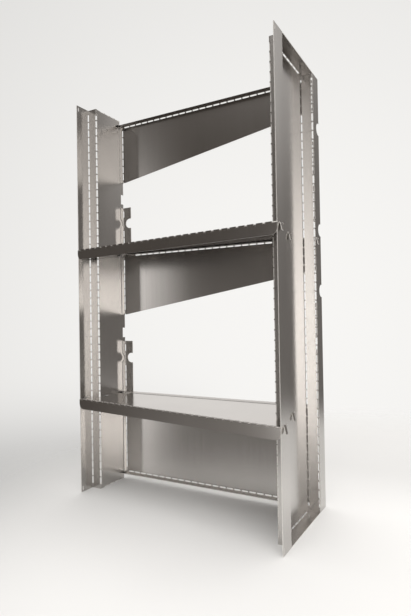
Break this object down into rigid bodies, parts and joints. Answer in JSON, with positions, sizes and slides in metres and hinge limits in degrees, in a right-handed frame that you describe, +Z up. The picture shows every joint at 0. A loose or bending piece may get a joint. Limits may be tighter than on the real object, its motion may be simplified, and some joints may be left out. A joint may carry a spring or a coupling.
{
  "type": "shelving unit",
  "caption": "Free-standing open shelving unit of folded sheet steel with a slanted front, slotted fold lines, bent fixing tabs and partly open back.",
  "frame": {"origin": "on the floor, under the middle of the whole unit's box", "axes": "+X to the right seen from the front, +Y towards the back sheets, +Z up"},
  "size_m": [0.584, 0.2728, 0.98],
  "materials": {
    "right_wall": "raw rolled sheet steel, semi-gloss, with a faint vertical grain",
    "left_wall": "raw rolled sheet steel, semi-gloss, with a faint vertical grain",
    "upper_shelf": "raw rolled sheet steel, semi-gloss, with a faint vertical grain",
    "lower_shelf": "raw rolled sheet steel, semi-gloss, with a faint vertical grain",
    "top_back": "raw rolled sheet steel, semi-gloss, with a faint vertical grain",
    "middle_back": "raw rolled sheet steel, semi-gloss, with a faint vertical grain",
    "bottom_back": "raw rolled sheet steel, semi-gloss, with a faint vertical grain"
  },
  "bodies": {
    "root": {"right_wall": "right_wall", "left_wall": "left_wall", "upper_shelf": "upper_shelf", "lower_shelf": "lower_shelf", "top_back": "top_back", "middle_back": "middle_back", "bottom_back": "bottom_back"}
  },
  "joints": []
}
